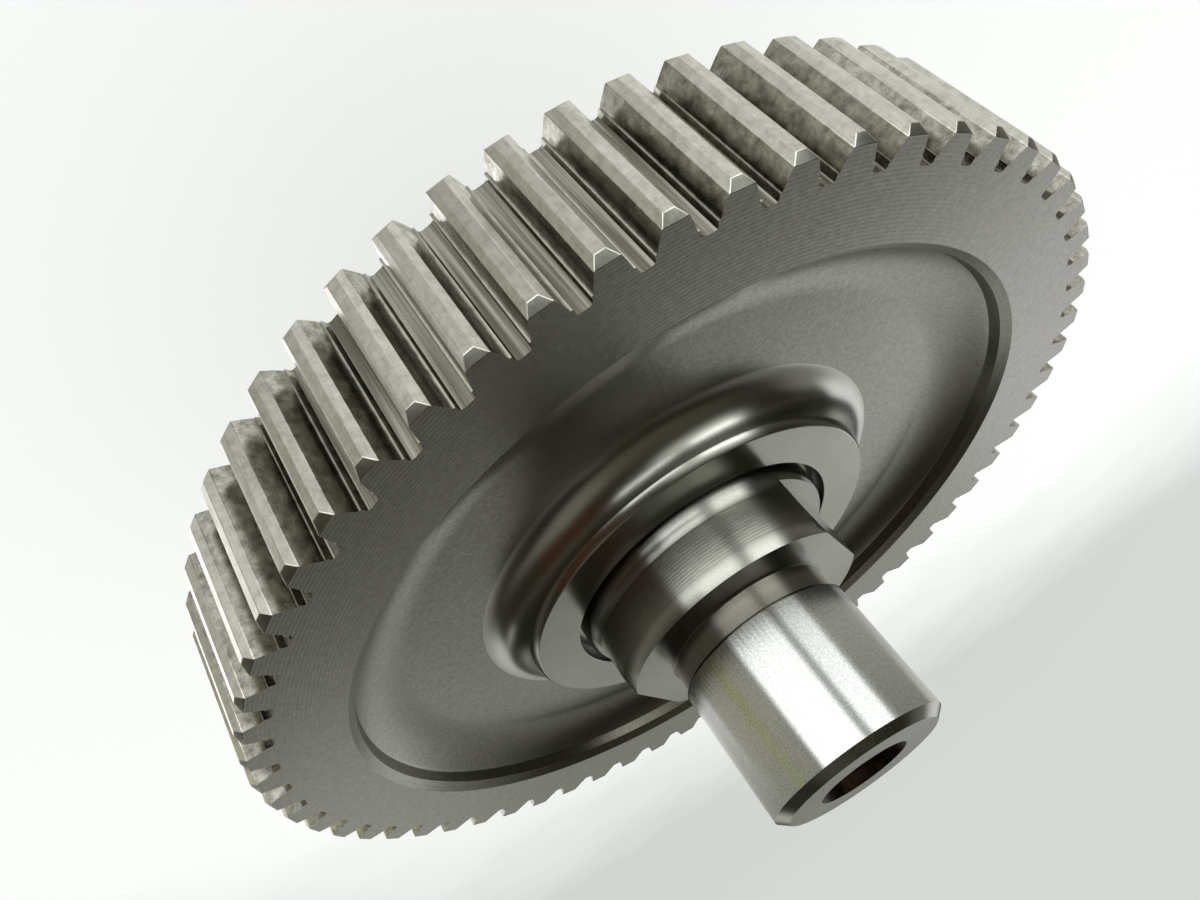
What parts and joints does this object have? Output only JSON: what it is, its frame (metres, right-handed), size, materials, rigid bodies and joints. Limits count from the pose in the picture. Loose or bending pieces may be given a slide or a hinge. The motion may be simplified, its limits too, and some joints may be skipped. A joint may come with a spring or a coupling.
{
  "type": "starter reduction gear",
  "caption": "Toothed steel wheel pressed on a turned shaft with journals at both ends and a small rear pinion; it gears an engine starter down.",
  "frame": {"origin": "centre of the rear end face of the shaft, on which the gear stands", "axes": "+Z along the shaft axis towards the front end with the two flats, X square to the two flats"},
  "size_m": [0.0766, 0.0766, 0.0633],
  "materials": {
    "wheel_steel": "cut and ground teeth, turned rim and hub faces, shot-blasted web, thin oil film",
    "shaft_steel": "ground bright journals, fine turned collar"
  },
  "bodies": {
    "root": {"toothed_wheel": "wheel_steel", "shaft": "shaft_steel"}
  },
  "joints": []
}
